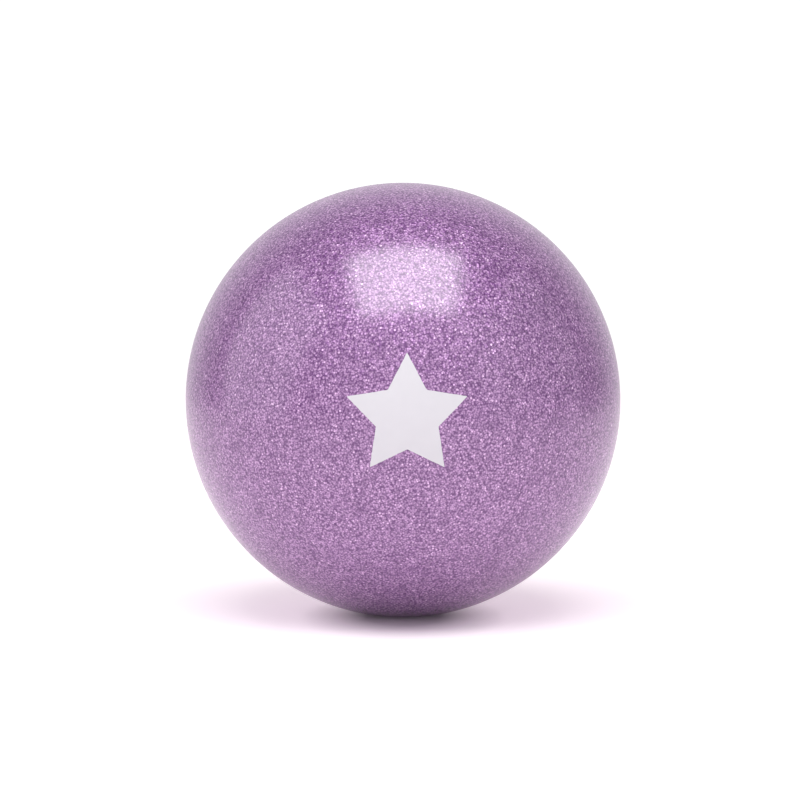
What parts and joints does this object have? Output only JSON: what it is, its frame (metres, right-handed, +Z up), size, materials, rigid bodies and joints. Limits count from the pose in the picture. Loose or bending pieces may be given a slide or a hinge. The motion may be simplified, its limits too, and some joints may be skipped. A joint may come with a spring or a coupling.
{
  "type": "play ball",
  "caption": "Hollow soft-plastic glitter ball with a printed star on its front and a pull-out plug in the air valve at its back.",
  "frame": {"origin": "centre of the flat patch that the soft ball rests on", "axes": "+Z up through the ball's centre; -Y towards the printed star; +Y out along the valve's axis"},
  "size_m": [0.1, 0.1004, 0.0994],
  "materials": {
    "glitter_pvc": "soft translucent purple PVC full of fine silver-pink glitter, satin gloss",
    "soft_valve_pvc": "milky soft PVC, satin",
    "plug_plastic": "white moulded plastic, satin",
    "white_ink": "opaque white printing ink, smooth satin"
  },
  "bodies": {
    "ball": {"ball_shell": "glitter_pvc", "valve_body": "soft_valve_pvc", "star_print": "white_ink"},
    "plug": {"valve_plug": "plug_plastic"}
  },
  "joints": [
    {"name": "plug_pull", "type": "slide", "parent": "ball", "child": "plug", "axis": [0, 1, 0], "range_m": [0, 0.016]}
  ]
}
